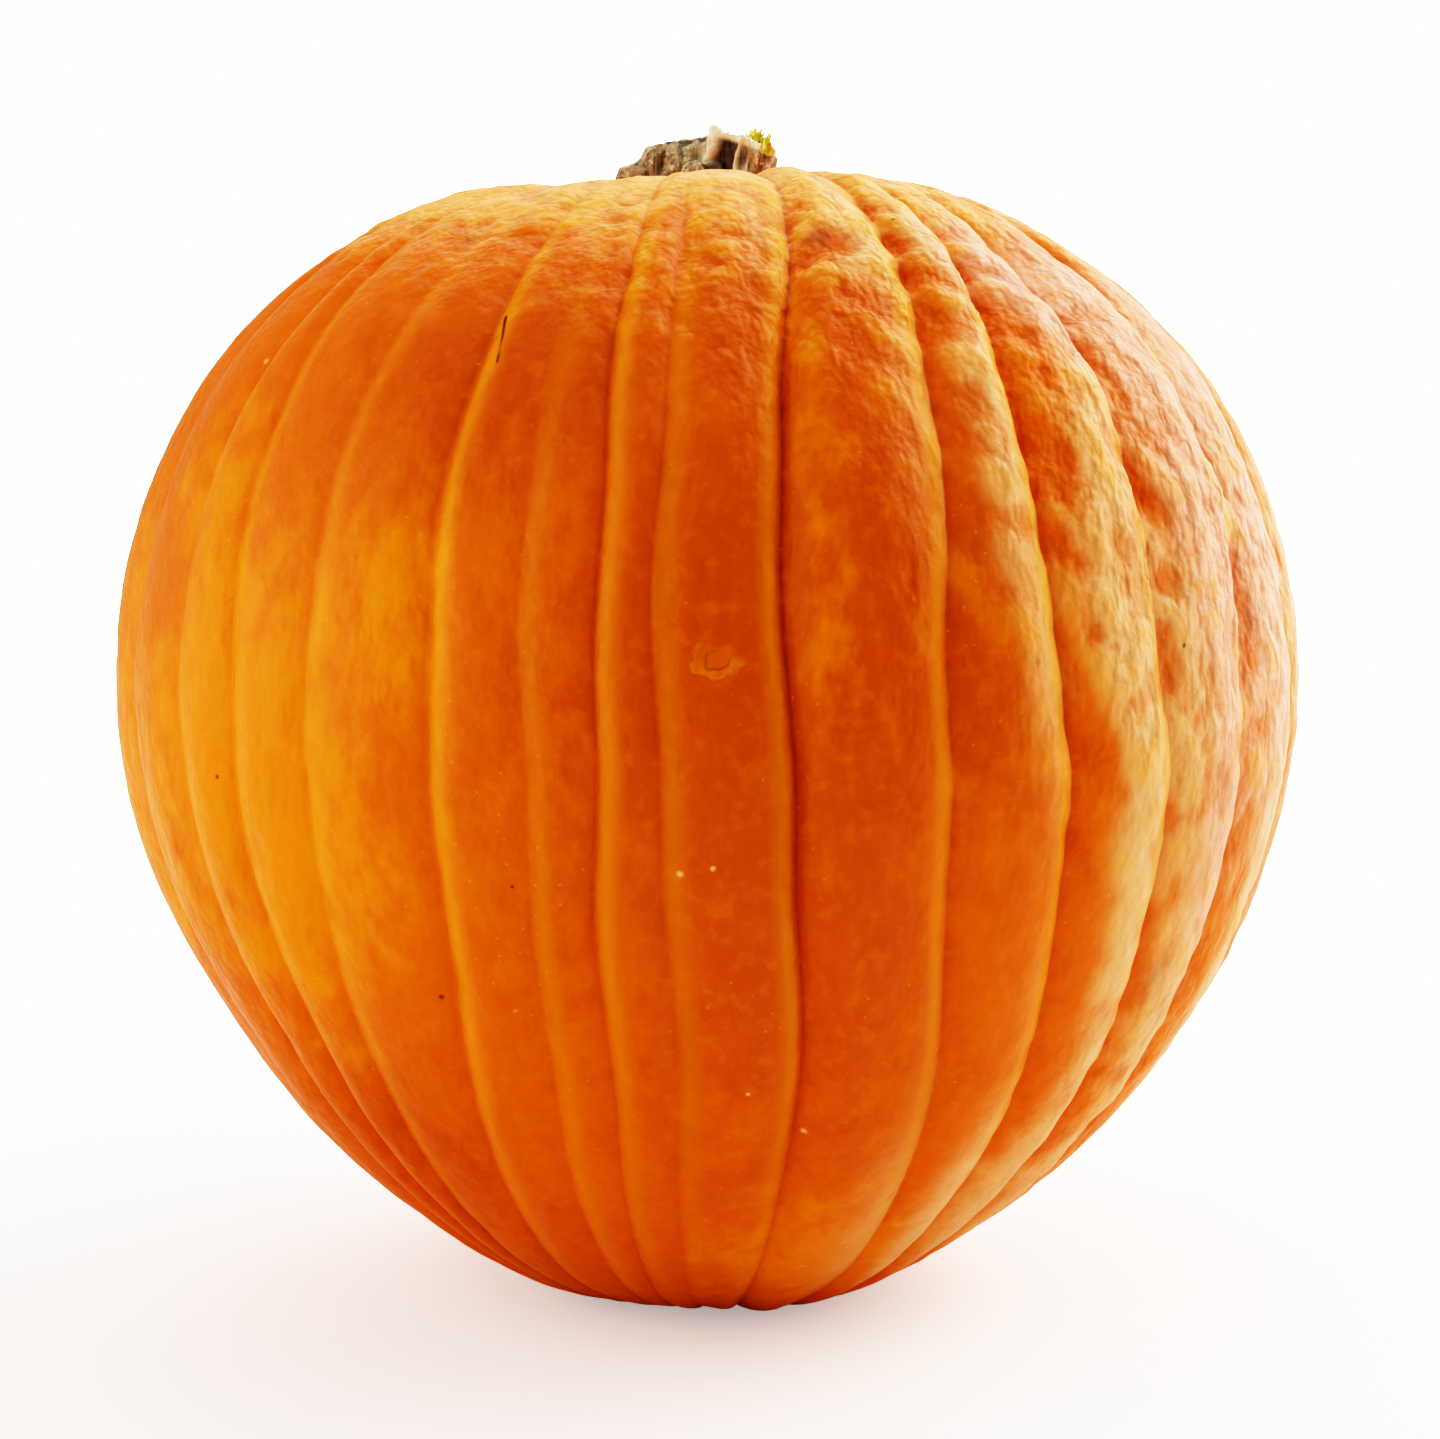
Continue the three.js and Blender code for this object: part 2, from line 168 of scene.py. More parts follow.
# where each kind of skin lies: azimuth and latitude, half width and half height in degrees, strength
skinPatches = {
    # deep: darker skin down the front, partly painted shade
    "deep": [
        (6.0, 2.0, 24.0, 52.0, 1.0),
        (-18.0, 34.0, 20.0, 16.0, 1.0),
        (-40.0, -40.0, 20.0, 16.0, 0.6),
    ],
    # gold: mottled patches, partly painted light on the lit left side
    "goldAndPaintedLight": [
        (-54.0, 22.0, 11.0, 13.0, 0.7),
        (-46.0, -4.0, 20.0, 26.0, 1.0),
        (-27.0, 10.0, 9.0, 18.0, 0.6),
        (-68.0, 0.0, 16.0, 34.0, 0.6),
        (-20.0, 44.0, 20.0, 10.0, 0.35),
        (-30.0, -62.0, 60.0, 10.0, 0.35),
        (24.0, -56.0, 34.0, 14.0, 0.75),
        (11.0, 20.0, 4.0, 46.0, 0.45),
    ],
    # leather: dry skin on the right, partly painted sheen
    "leather": [
        (27.0, 28.0, 8.0, 22.0, 0.55),
        (36.0, 12.0, 9.0, 22.0, 0.7),
        (45.0, 2.0, 10.0, 34.0, 1.0),
        (50.0, -26.0, 16.0, 22.0, 0.7),
        (44.0, -50.0, 24.0, 16.0, 0.8),
        (30.0, 54.0, 24.0, 12.0, 0.7),
        (70.0, 0.0, 16.0, 60.0, 0.7),
    ],
    # bloom: dull skin high on the right, partly painted sheen
    "bloomAndSheen": [
        (60.0, 22.0, 16.0, 34.0, 1.0),
        (48.0, 48.0, 16.0, 14.0, 0.9),
        (56.0, -8.0, 10.0, 18.0, 0.7),
    ],
    # crown: ochre round the stem, partly painted sheen
    "crown": [
        (0.0, 66.0, 400.0, 15.0, 1.0),
    ],
    "leathery": [
        (50.0, 20.0, 34.0, 34.0, 1.0),
        (20.0, 48.0, 34.0, 18.0, 1.0),
        (0.0, 60.0, 400.0, 14.0, 0.5),
        (60.0, -30.0, 30.0, 30.0, 0.5),
        (0.0, 0.0, 400.0, 90.0, 0.16),
        (180.0, 10.0, 70.0, 50.0, 0.55),
    ],
}
patchColours = ("deep", "goldAndPaintedLight", "leather", "bloomAndSheen", "crown")
ribMasks = ("share", "crease", "valley", "edge", "leathery", "raised", "bruise")


def bell(distance, width):
    return np.exp(-((distance / width) ** 2))


def smoothStep(value, low, high):
    share = np.clip((value - low) / (high - low), 0.0, 1.0)
    return share * share * (3.0 - 2.0 * share)


def patchMask(kind, azimuth, latitude):
    total = 0.0 * azimuth
    for at, level, wide, high, strength in skinPatches[kind]:
        turn = (azimuth - at + 180.0) % 360.0 - 180.0
        total = np.maximum(total, strength * bell(turn, wide) * bell(latitude - level, high))
    return total


def makeCreases():
    # the far side carries on at an even, slightly wandering pitch
    first = frontCreases[0][0] + 360.0
    last = frontCreases[-1][0]
    pitch = (first - last) / (backCreaseCount + 1)
    back = []
    for index in range(backCreaseCount):
        at = last + pitch * (index + 1) + 1.6 * math.sin(2.3 * index)
        up = 3.0 * math.sin(1.7 * index)
        down = 3.0 * math.sin(1.1 * index + 2.0)
        deep = 2.0 + 0.5 * math.sin(2.9 * index)
        bow = 1.5 * math.sin(3.1 * index)
        lip = 0.3 * math.sin(1.3 * index)
        back.append((at, up, down, bow, 1.1 * deep, deep, 0.85 * deep, lip, ribForm["backSharpness"]))
    return np.array(frontCreases + back)


creases = makeCreases()


def creaseAzimuth(at, up, down, bow, latitude):
    share = np.minimum(np.abs(latitude), ribForm["driftLimit"]) / ribForm["driftLatitude"]
    drift = np.where(latitude > 0, up, down) * share ** 1.5
    wander = 0.0
    for reach, along, across in ribForm["wander"]:
        wander = wander + reach * np.sin(np.radians(along * latitude + across * at))
    bowLatitude, bowReach = ribForm["bow"]
    bowed = bow * bell(latitude - bowLatitude, bowReach)
    return at + drift + bowed + wander * bell(latitude, ribForm["driftLatitude"])


def creaseDepth(crease, latitude):
    # from the depth at the middle towards the depth high up or low down
    asideFrom, asideTo = ribForm["aside"]
    share = smoothStep(np.abs(latitude), asideFrom, asideTo)
    aside = np.where(latitude > 0, crease[:, 4], crease[:, 6])
    calmFrom, calmTo = ribForm["calm"]
    calm = np.where(latitude > 0, ribForm["calmCrown"], ribForm["calmBase"])
    shallower = 1.0 - calm * smoothStep(np.abs(latitude), calmFrom, calmTo)
    return (crease[:, 5] + (aside - crease[:, 5]) * share) * shallower


def bareForm(latitude):
    sine = np.sin(np.radians(latitude))
    cosine = np.abs(np.cos(np.radians(latitude)))
    upper = latitude > 0
    power = 2.0 / np.where(upper, fruitForm["crownFullness"], fruitForm["baseFullness"])
    radius = fruitForm["radius"] * cosine ** power
    reach = np.where(upper, fruitForm["crownRise"], fruitForm["baseDrop"])
    rise = reach * np.sign(sine) * np.abs(sine) ** power
    hollowDepth, hollowWidth = fruitForm["hollow"]
    endDepth, endWidth = fruitForm["blossomEnd"]
    dimple = np.where(upper, -hollowDepth * bell(radius, hollowWidth), endDepth * bell(radius, endWidth))
    return radius, rise + dimple


def bareNormal(latitude):
    step = 0.5
    radiusAbove, heightAbove = bareForm(np.minimum(latitude + step, 90.0))
    radiusBelow, heightBelow = bareForm(np.maximum(latitude - step, -90.0))
    outward = heightAbove - heightBelow
    upward = radiusBelow - radiusAbove
    length = np.hypot(outward, upward)
    return outward / length, upward / length


def standOnFoot(radius, height, latitude, azimuth):
    # from distance, height and azimuth to the leaning fruit on its flat spot
    x = radius * np.sin(np.radians(azimuth))
    y = -radius * np.cos(np.radians(azimuth))
    slopeX, slopeY = fruitForm["crownSlope"]
    crown = np.where(latitude > 0, np.sin(np.radians(latitude)) ** 2, 0.0)
    z = height + crown * (slopeX * x + slopeY * y)
    bellyLatitude, bellyReach = fruitForm["belly"]
    footFrom, footTo = fruitForm["foot"]
    belly = fruitForm["bellyShift"] * bell(latitude - bellyLatitude, bellyReach)
    foot = fruitForm["footShift"] * smoothStep(-latitude, footFrom, footTo)
    x = x + np.where(latitude > 0, 0.0, belly + foot)
    back, left = np.radians(-fruitForm["leanBack"]), np.radians(-fruitForm["leanLeft"])
    y, z = y * np.cos(back) - z * np.sin(back), y * np.sin(back) + z * np.cos(back)
    x, z = x * np.cos(left) + z * np.sin(left), -x * np.sin(left) + z * np.cos(left)
    z = np.maximum(z + fruitForm["equatorHeight"], 0.0)
    return np.stack([x, y, z], axis=-1)


def skinGridPoints():
    # one column for each share of each rib, one row for each latitude
    columns = skinGrid["ribColumns"]
    plain = np.arange(columns) / columns
    shares = plain - skinGrid["gather"] * np.sin(2 * np.pi * plain) / (2 * np.pi)
    ribs = np.repeat(np.arange(len(creases)), columns)
    share = np.tile(shares, len(creases))[None, :]
    rows = skinGrid["rows"]
    latitude = np.linspace(-90.0, 90.0, rows + 2)[1:-1, None]
    return ribs, share, latitude


def softNoise(points, size, seed, stretch=(1.0, 1.0, 1.0), slant=0.0):
    # with a slant the noise runs down to the right
    shift = Vector((seed * 13.7, seed * 7.1, seed * 3.3))
    scaled = points * np.array(stretch) / size
    scaled[:, 0] += slant * points[:, 2] / size
    return np.array([noise.noise(Vector(point) + shift) for point in scaled])


def buildFruitSkin():
    ribs, share, latitude = skinGridPoints()
    left = creases[ribs]
    right = np.roll(creases, -1, axis=0)[ribs]
    wrap = np.where(ribs == len(creases) - 1, 360.0, 0.0)
    leftAzimuth = creaseAzimuth(left[:, 0], left[:, 1], left[:, 2], left[:, 3], latitude)
    rightAzimuth = creaseAzimuth(right[:, 0] + wrap, right[:, 1], right[:, 2], right[:, 3], latitude)
    azimuth = leftAzimuth + (rightAzimuth - leftAzimuth) * share
    radius, height = bareForm(latitude)
    radius, height = radius + 0 * azimuth, height + 0 * azimuth
    latitudes = latitude + 0 * azimuth

    width = radius * np.radians(rightAzimuth - leftAzimuth)
    narrow = ribForm["creaseWidth"] * np.clip(width / ribForm["fullWidth"], ribForm["narrowest"], 1.0)
    fromLeft = share * width
    fromRight = (1 - share) * width
    plain = standOnFoot(radius, height, latitudes, azimuth)
    flat = plain.reshape(-1, 3)
    unevenBy, unevenSize = ribForm["uneven"]
    wander = softNoise(flat, unevenSize, 1).reshape(radius.shape)
    leftDepth = creaseDepth(left, latitudes)
    rightDepth = creaseDepth(right, latitudes)
    curve = ribForm["creaseCurve"]
    leftCut = leftDepth * left[:, 8]
    rightCut = rightDepth * right[:, 8]
    creaseHere = leftCut * np.exp(-((fromLeft / narrow) ** curve))
    creaseHere = creaseHere + rightCut * np.exp(-((fromRight / narrow) ** curve))
    sharp = ribForm["cut"] * narrow
    cutHere = leftCut * bell(fromLeft, sharp) + rightCut * bell(fromRight, sharp)
    creased = creaseHere * (1.0 + unevenBy * wander)
    lipAt, lipWidth = ribForm["lip"]
    lips = left[:, 7] * bell(fromLeft - lipAt, lipWidth) - right[:, 7] * bell(fromRight - lipAt, lipWidth)
    between = leftDepth + (rightDepth - leftDepth) * share
    rounding = ribForm["rounding"] * between * np.abs(2 * share - 1) ** ribForm["roundingCurve"]
    shoulder = bell(latitude - ribForm["shoulderLatitude"], ribForm["shoulderReach"])
    gain = 1 + ribForm["shoulderGain"] * shoulder
    swellBy, swellTurn = ribForm["swell"]
    swell = swellBy * np.sin(np.radians(swellTurn * left[:, 0])) * np.sin(np.pi * share)
    fadeLow, fadeHigh = ribForm["fade"]
    alive = smoothStep(radius, fadeLow, fadeHigh)
    relief = (swell - creased - rounding + lips) * gain * alive

    for at, level, wide, high, by in swellings + smallMarks:
        turn = (azimuth - at + 180.0) % 360.0 - 180.0
        relief = relief + by * bell(turn, wide) * bell(latitude - level, high)

    leathery = patchMask("leathery", azimuth, latitudes)
    folds = softNoise(flat, skinRelief["foldSize"], 2, (1.0, 1.0, 0.5), 0.45).reshape(radius.shape)
    dimples = softNoise(flat, skinRelief["dimpleSize"], 3).reshape(radius.shape)
    lumps = softNoise(flat, skinRelief["lumpSize"], 8, (1.0, 1.0, 0.6), 0.4).reshape(radius.shape)
    waves = softNoise(flat, skinRelief["swellSize"], 4).reshape(radius.shape)
    hammered = skinRelief["folds"] * folds + skinRelief["lumps"] * (0.22 - np.abs(lumps))
    hammered = hammered + skinRelief["dimples"] * np.minimum(dimples, 0.15)
    relief = relief + alive * (skinRelief["swell"] * waves + leathery * hammered)

    bruises = np.zeros(radius.shape)
    for at, level, wide, high in smudges:
        turn = (azimuth - at + 180.0) % 360.0 - 180.0
        bruises = np.maximum(bruises, bell(turn, wide) * bell(latitude - level, high))

    outward, upward = bareNormal(latitudes)
    points = standOnFoot(radius + relief * outward, height + relief * upward, latitudes, azimuth)
    lowRadius, lowHeight = bareForm(np.array(-90.0))
    highRadius, highHeight = bareForm(np.array(90.0))
    lowPoint = standOnFoot(lowRadius, lowHeight, np.array(-90.0), np.array(0.0))
    highPoint = standOnFoot(highRadius, highHeight, np.array(90.0), np.array(0.0))
    # painted light: ribs are pale along the edge whose wall faces the side lamps of their own half, more so
    # high up
    facing = smoothStep(np.sin(np.radians(azimuth)), -0.12, 0.2)
    rightAt, rightWidth = ribForm["paintedLightRight"]
    leftAt, leftWidth = ribForm["paintedLightLeft"]
    edge = facing * rightDepth * bell(fromRight - rightAt, rightWidth)
    edge = edge + (1 - facing) * leftDepth * bell(fromLeft - leftAt, leftWidth)
    edge = edge / 2.0 * (1.0 + 0.8 * smoothStep(latitudes, 20.0, 50.0))
    masks = {
        # crease and valley carry painted shade into the colour, edge carries painted light
        "crease": np.clip(cutHere / 2.0, 0.0, 1.0) * alive,
        "valley": np.clip(creaseHere / 2.4, 0.0, 1.0) * alive,
        "edge": np.clip(edge, 0.0, 1.0) * alive,
        "share": share + 0 * azimuth,
        "leathery": leathery,
        "raised": 0.5 + 0.9 * leathery * hammered,
        "bruise": bruises,
    }
    for kind in patchColours:
        masks[kind] = patchMask(kind, azimuth, latitudes)
    return points * mm, lowPoint * mm, highPoint * mm, masks


def closedSkin(name, points, lowPoint, highPoint):
    # rows of quads, closed by a fan at each end
    rows, sides = points.shape[:2]
    vertices = np.concatenate([points.reshape(-1, 3), [lowPoint], [highPoint]])
    low, high = rows * sides, rows * sides + 1
    row, side = np.meshgrid(np.arange(rows - 1), np.arange(sides), indexing="ij")
    after = (side + 1) % sides
    here = row * sides
    above = here + sides
    quads = np.stack([here + side, here + after, above + after, above + side], -1)
    edge = np.arange(sides)
    nextEdge = np.roll(edge, -1)
    last = (rows - 1) * sides
    lowFan = np.stack([np.full(sides, low), nextEdge, edge], -1)
    highFan = np.stack([np.full(sides, high), last + edge, last + nextEdge], -1)
    faces = quads.reshape(-1, 4).tolist() + lowFan.tolist() + highFan.tolist()
    mesh = bpy.data.meshes.new(name)
    mesh.from_pydata(vertices.tolist(), [], faces)
    mesh.polygons.foreach_set("use_smooth", [True] * len(mesh.polygons))
    piece = bpy.data.objects.new(name, mesh)
    bpy.context.scene.collection.objects.link(piece)
    return piece


def paintMask(piece, name, values, atEnds=(0.0, 0.0)):
    layer = piece.data.attributes.new(name, "FLOAT", "POINT")
    layer.data.foreach_set("value", np.concatenate([values.ravel(), atEnds]).astype(np.float32))


class Wire:
    # one value of a shader, so that its maths reads as plain expressions
    def __init__(self, shader, socket):
        self.shader = shader
        self.socket = socket

    def maths(self, operation, *values):
        return self.shader.node("ShaderNodeMath", {"operation": operation}, dict(enumerate(values)))

    def __add__(self, other):
        return self.maths("ADD", self, other)

    def __sub__(self, other):
        return self.maths("SUBTRACT", self, other)

    def __rsub__(self, other):
        return self.maths("SUBTRACT", other, self)

    def __mul__(self, other):
        return self.maths("MULTIPLY", self, other)

    def __truediv__(self, other):
        return self.maths("DIVIDE", self, other)

    __radd__ = __add__
    __rmul__ = __mul__

    def larger(self, other):
        return self.maths("MAXIMUM", self, other)

    def smaller(self, other):
        return self.maths("MINIMUM", self, other)

    def clamped(self):
        self.socket.node.use_clamp = True
        return self

    def step(self, low, high):
        settings = {"interpolation_type": "SMOOTHSTEP", "clamp": True}
        return self.shader.node("ShaderNodeMapRange", settings, {0: self, 1: low, 2: high, 3: 0.0, 4: 1.0})


class Finish:
    # a material with its Principled shader
    def __init__(self, name):
        self.material = bpy.data.materials.new(name)
        self.material.use_nodes = True
        self.nodes = self.material.node_tree.nodes
        self.links = self.material.node_tree.links
        self.shader = self.nodes["Principled BSDF"]

    def node(self, kind, settings=None, values=None, output=0):
        made = self.nodes.new(kind)
        for key, value in (settings or {}).items():
            setattr(made, key, value)
        for key, value in (values or {}).items():
            self.feed(made.inputs[key], value)
        return Wire(self, made.outputs[output])

    def feed(self, socket, value):
        if isinstance(value, Wire):
            self.links.new(value.socket, socket)
        elif isinstance(value, tuple) and len(value) == 3 and socket.type == "RGBA":
            socket.default_value = (*value, 1.0)
        else:
            socket.default_value = value

    def mask(self, name):
        return self.node("ShaderNodeAttribute", {"attribute_name": name}, None, "Fac")

    def place(self):
        return self.node("ShaderNodeTexCoord", None, None, "Object")

    def vector(self, operation, first, second=None, output="Vector"):
        values = {0: first}
        if second is not None:
            values["Scale" if operation == "SCALE" else 1] = second
        return self.node("ShaderNodeVectorMath", {"operation": operation}, values, output)

    def stretched(self, place, scale, turn=(0.0, 0.0, 0.0)):
        return self.node("ShaderNodeMapping", None, {"Vector": place, "Scale": scale, "Rotation": turn})

    def cloud(self, place, scale, detail=3.0, rough=0.5):
        values = {"Vector": place, "Scale": scale, "Detail": detail, "Roughness": rough}
        return self.node("ShaderNodeTexNoise", None, values, "Fac")

    def mix(self, factor, first, second):
        settings = {"data_type": "RGBA", "clamp_factor": True}
        return self.node("ShaderNodeMix", settings, {0: factor, 6: first, 7: second}, 2)

    def bump(self, height, distance, strength=1.0):
        values = {"Strength": strength, "Distance": distance, "Height": height}
        return self.node("ShaderNodeBump", None, values, "Normal")

    def set(self, **sockets):
        for name, value in sockets.items():
            self.feed(self.shader.inputs[name.replace("_", " ")], value)


rindLook = {
    "orange": (0.74, 0.185, 0.004),
    "deep": (0.58, 0.128, 0.002),  # down the middle of the front, partly painted shade there; also the painted shade of crease valleys and of hollows between the lumps
    "goldAndPaintedLight": (0.85, 0.27, 0.004),  # mottled patches on the left and low down, partly painted light on the lit left side
    "leather": (0.78, 0.42, 0.19),  # dry patches on the right, partly painted sheen of the lamps on the right
    "bloomAndSheen": (0.8, 0.38, 0.23),  # dull powdery skin high on the right, partly painted sheen
    "ochreAndSheen": (0.86, 0.4, 0.09),  # round the stem, partly painted sheen from the lamps above
    "lit": (0.86, 0.33, 0.02),  # painted highlight on the tops of the small lumps, and the ring scar's paler colour
    "edge": (0.86, 0.36, 0.02),  # painted light on the rib walls that face the side lamps
    # painted shade along the sharp creases
    "crease": (0.42, 0.04, 0.001),
    # near-black painted shade of the deep slit; the small pits take the same colour
    "slitShade": (0.1, 0.015, 0.002),
    "speck": (0.9, 0.5, 0.12),
    "scar": (0.85, 0.45, 0.18),
    "bruise": (0.3, 0.16, 0.09),
    "roughness": 0.4,
    "specular": 0.38,
    "bump": (0.0016, 0.75),  # distance in metres, and strength
}

# small round marks of the skin by kind: azimuth, latitude and half width in millimetres
skinSpots = {
    "speck": [
        (-2.7, -12.1, 0.7),
        (0.1, -11.6, 0.6),
        (9.0, -37.2, 0.7),
        (2.5, -32.2, 0.5),
        (14.3, -56.1, 0.8),
        (14.9, -56.3, 0.7),
        (40.7, -10.2, 0.8),
        (-56.9, 36.7, 0.7),
        (-19.4, -24.5, 0.5),
    ],
    "pit": [
        (30.4, 55.5, 0.5),
        (42.9, 11.8, 0.45),
        (46.0, 5.5, 0.55),
        (-17.2, -13.2, 0.4),
        (-27.1, -23.7, 0.6),
        (-48.3, -4.6, 0.5),
    ],
}

# thin lines: azimuth and latitude of both ends, then half width in millimetres
skinLines = {
    "scratch": [
        (-42.0, 16.8, -47.6, 11.0, 0.25),
    ],
    # a deep slit along a crease, drawn as painted shade
    "slitShade": [
        (-22.1, 41.5, -20.9, 35.4, 0.4),
    ],
}
ringScar = {"at": (1.0, 6.4), "halfSize": (5.0, 3.2), "width": 0.3, "warp": 1.3, "open": (0.6, 0.8)}


def bareDirection(azimuth, latitude):
    # direction from the fruit's middle to a place on its bare skin
    radius, height = bareForm(np.array(latitude))
    point = standOnFoot(radius, height, np.array(latitude), np.array(azimuth))
    return Vector(point - np.array((0.0, 0.0, fruitForm["equatorHeight"]))).normalized()


def lineMask(rind, aim, start, end, halfWidth):
    # nearness to the line between two places, on a ball of the fruit's radius
    first, last = bareDirection(*start), bareDirection(*end)
    along = last - first
    fromFirst = rind.vector("SUBTRACT", aim, tuple(first))
    share = rind.vector("DOT_PRODUCT", fromFirst, tuple(along), "Value") / along.length_squared
    nearest = rind.vector("SCALE", tuple(along), share.clamped())
    distance = rind.vector("DISTANCE", fromFirst, nearest, "Value")
    reach = halfWidth / fruitForm["radius"]
    return 1.0 - distance.step(0.3 * reach, 1.7 * reach)


def linesOfKind(rind, aim, kind):
    total = None
    for startAzimuth, startLatitude, endAzimuth, endLatitude, halfWidth in skinLines[kind]:
        mask = lineMask(rind, aim, (startAzimuth, startLatitude), (endAzimuth, endLatitude), halfWidth)
        total = mask if total is None else total.larger(mask)
    return total


def spotsOfKind(rind, aim, kind):
    nearest = None
    for azimuth, latitude, halfWidth in skinSpots[kind]:
        distance = rind.vector("DISTANCE", aim, tuple(bareDirection(azimuth, latitude)), "Value")
        distance = distance * (fruitForm["radius"] / halfWidth)
        nearest = distance if nearest is None else nearest.smaller(distance)
    return 1.0 - nearest.step(0.4, 1.6)


def ringScarMask(rind, aim, warp):
    # a low, broken ring, wider than high and open at the upper right, and the skin inside it
    offset = rind.vector("SUBTRACT", aim, tuple(bareDirection(*ringScar["at"])))
    wide, high = ringScar["halfSize"]
    scaled = rind.vector("MULTIPLY", offset, (1.0 / wide, 0.0, 1.0 / high))
    distance = rind.vector("LENGTH", scaled, None, "Value") * fruitForm["radius"]
    distance = distance + (warp - 0.5) * ringScar["warp"]
    away = (distance - 1.0) / ringScar["width"]
    openX, openZ = ringScar["open"]
    side = rind.vector("DOT_PRODUCT", scaled, (openX, 0.0, openZ), "Value") * fruitForm["radius"]
    ring = (1.0 - (away * away).step(0.1, 2.4)) * (1.0 - side.step(0.1, 0.8))
    return ring, 1.0 - distance.step(0.5, 1.1)


def rindZones(rind, place, masks):
    # broad colours of the skin, patchy at their edges; partly painted light and shade: a darker front, a
    # paler left side, paler right sides of ribs and bump tops, darker hollows
    mottle = rind.cloud(rind.stretched(place, (1.0, 1.0, 0.6)), 34.0, 4.0, 0.65)
    blotch = rind.cloud(rind.stretched(place, (1.0, 1.0, 0.6)), 150.0, 3.0, 0.6)
    patchy = 1.0 * (mottle - 0.5) + 0.9 * (blotch - 0.5)
    # bump height: its tops get painted highlight and its hollows painted shade below
    raised = masks["raised"] - 0.5
    # painted light: the right part of each rib is paler, where the lamps on the right light it
    paintedLightToRight = masks["share"].step(0.05, 0.75) - 0.5
    # deep orange down the front, partly the skin's own and partly painted shade
    colour = rind.mix((masks["deep"] + patchy * 1.2).step(0.05, 0.95), rindLook["orange"], rindLook["deep"])
    # gold patches, partly mottled skin and partly painted light on the left side
    golden = (masks["goldAndPaintedLight"] + patchy * 1.1).step(0.25, 0.8) * masks["goldAndPaintedLight"].step(0.02, 0.4)
    colour = rind.mix(golden, colour, rindLook["goldAndPaintedLight"])
    # pale dry skin, partly painted sheen, paler on the right of each rib and on bump tops as painted light
    dry = (masks["leather"] + patchy * 0.45 + paintedLightToRight * 0.6 + raised * 0.3).step(0.1, 0.8)
    colour = rind.mix(dry * masks["leather"].step(0.02, 0.5), colour, rindLook["leather"])
    # dull bloom, partly painted sheen, paler on the right of each rib and on bump tops
    powderyAndSheen = (masks["bloomAndSheen"] + patchy * 0.3 + paintedLightToRight * 0.3 + raised * 0.2).step(0.1, 0.7)
    colour = rind.mix(powderyAndSheen * masks["bloomAndSheen"].step(0.02, 0.5), colour, rindLook["bloomAndSheen"])
    # ochre round the stem, paler on bump tops: partly painted sheen and highlight
    crown = (masks["crown"] + patchy * 0.7 + raised * 0.4).step(0.3, 1.0)
    colour = rind.mix(crown * 0.85, colour, rindLook["ochreAndSheen"])
    # painted shade in the hollows between the lumps
    low = (1.0 - masks["raised"].step(0.0, 0.5)) * 0.4
    colour = rind.mix(low, colour, rindLook["deep"])
    # painted highlight on the lump tops, with some random paler mottling
    lit = mottle.step(0.55, 0.8) * 0.25 + masks["raised"].step(0.55, 1.0) * 0.35
    colour = rind.mix(lit, colour, rindLook["lit"])
    return colour, mottle, blotch


